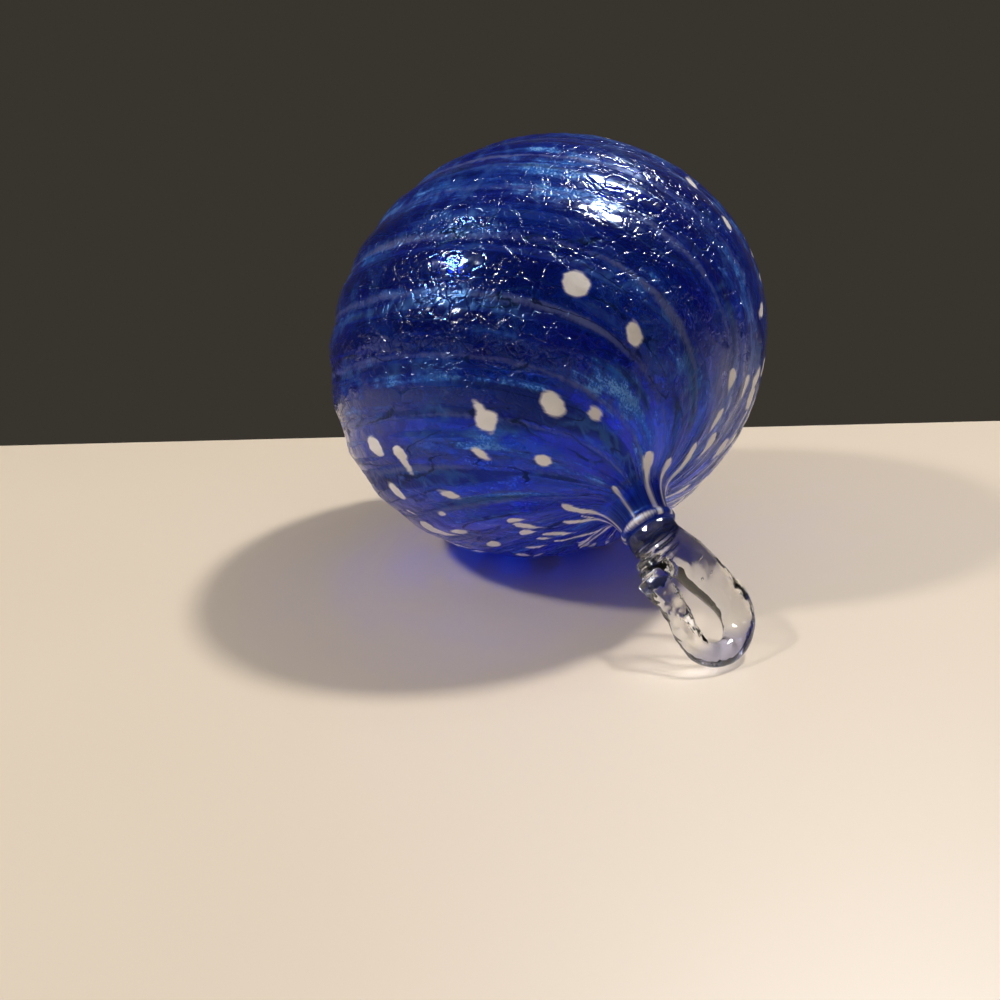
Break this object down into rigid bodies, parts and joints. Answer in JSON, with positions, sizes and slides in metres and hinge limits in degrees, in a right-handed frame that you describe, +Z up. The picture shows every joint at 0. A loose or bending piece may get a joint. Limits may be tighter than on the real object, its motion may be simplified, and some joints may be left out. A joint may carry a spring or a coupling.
{
  "type": "glass orb ornament",
  "caption": "Hand-blown crackled cobalt glass ball with pale inlaid chips and a drawn clear glass loop at its neck, for hanging; it lies on its side.",
  "frame": {"origin": "middle of the small flat on the ball that it lies on", "axes": "+Z up, +X level towards the side where the neck and its loop point, 31 degrees down"},
  "size_m": [0.1025, 0.0904, 0.0873],
  "materials": {
    "cobalt_glass": "see-through blown glass with a fine crackle and rippled surface",
    "clear_glass": "clear, fire-polished, a little crumpled on the thin side"
  },
  "bodies": {
    "root": {"orb": "cobalt_glass", "hanging_loop": "clear_glass"}
  },
  "joints": []
}
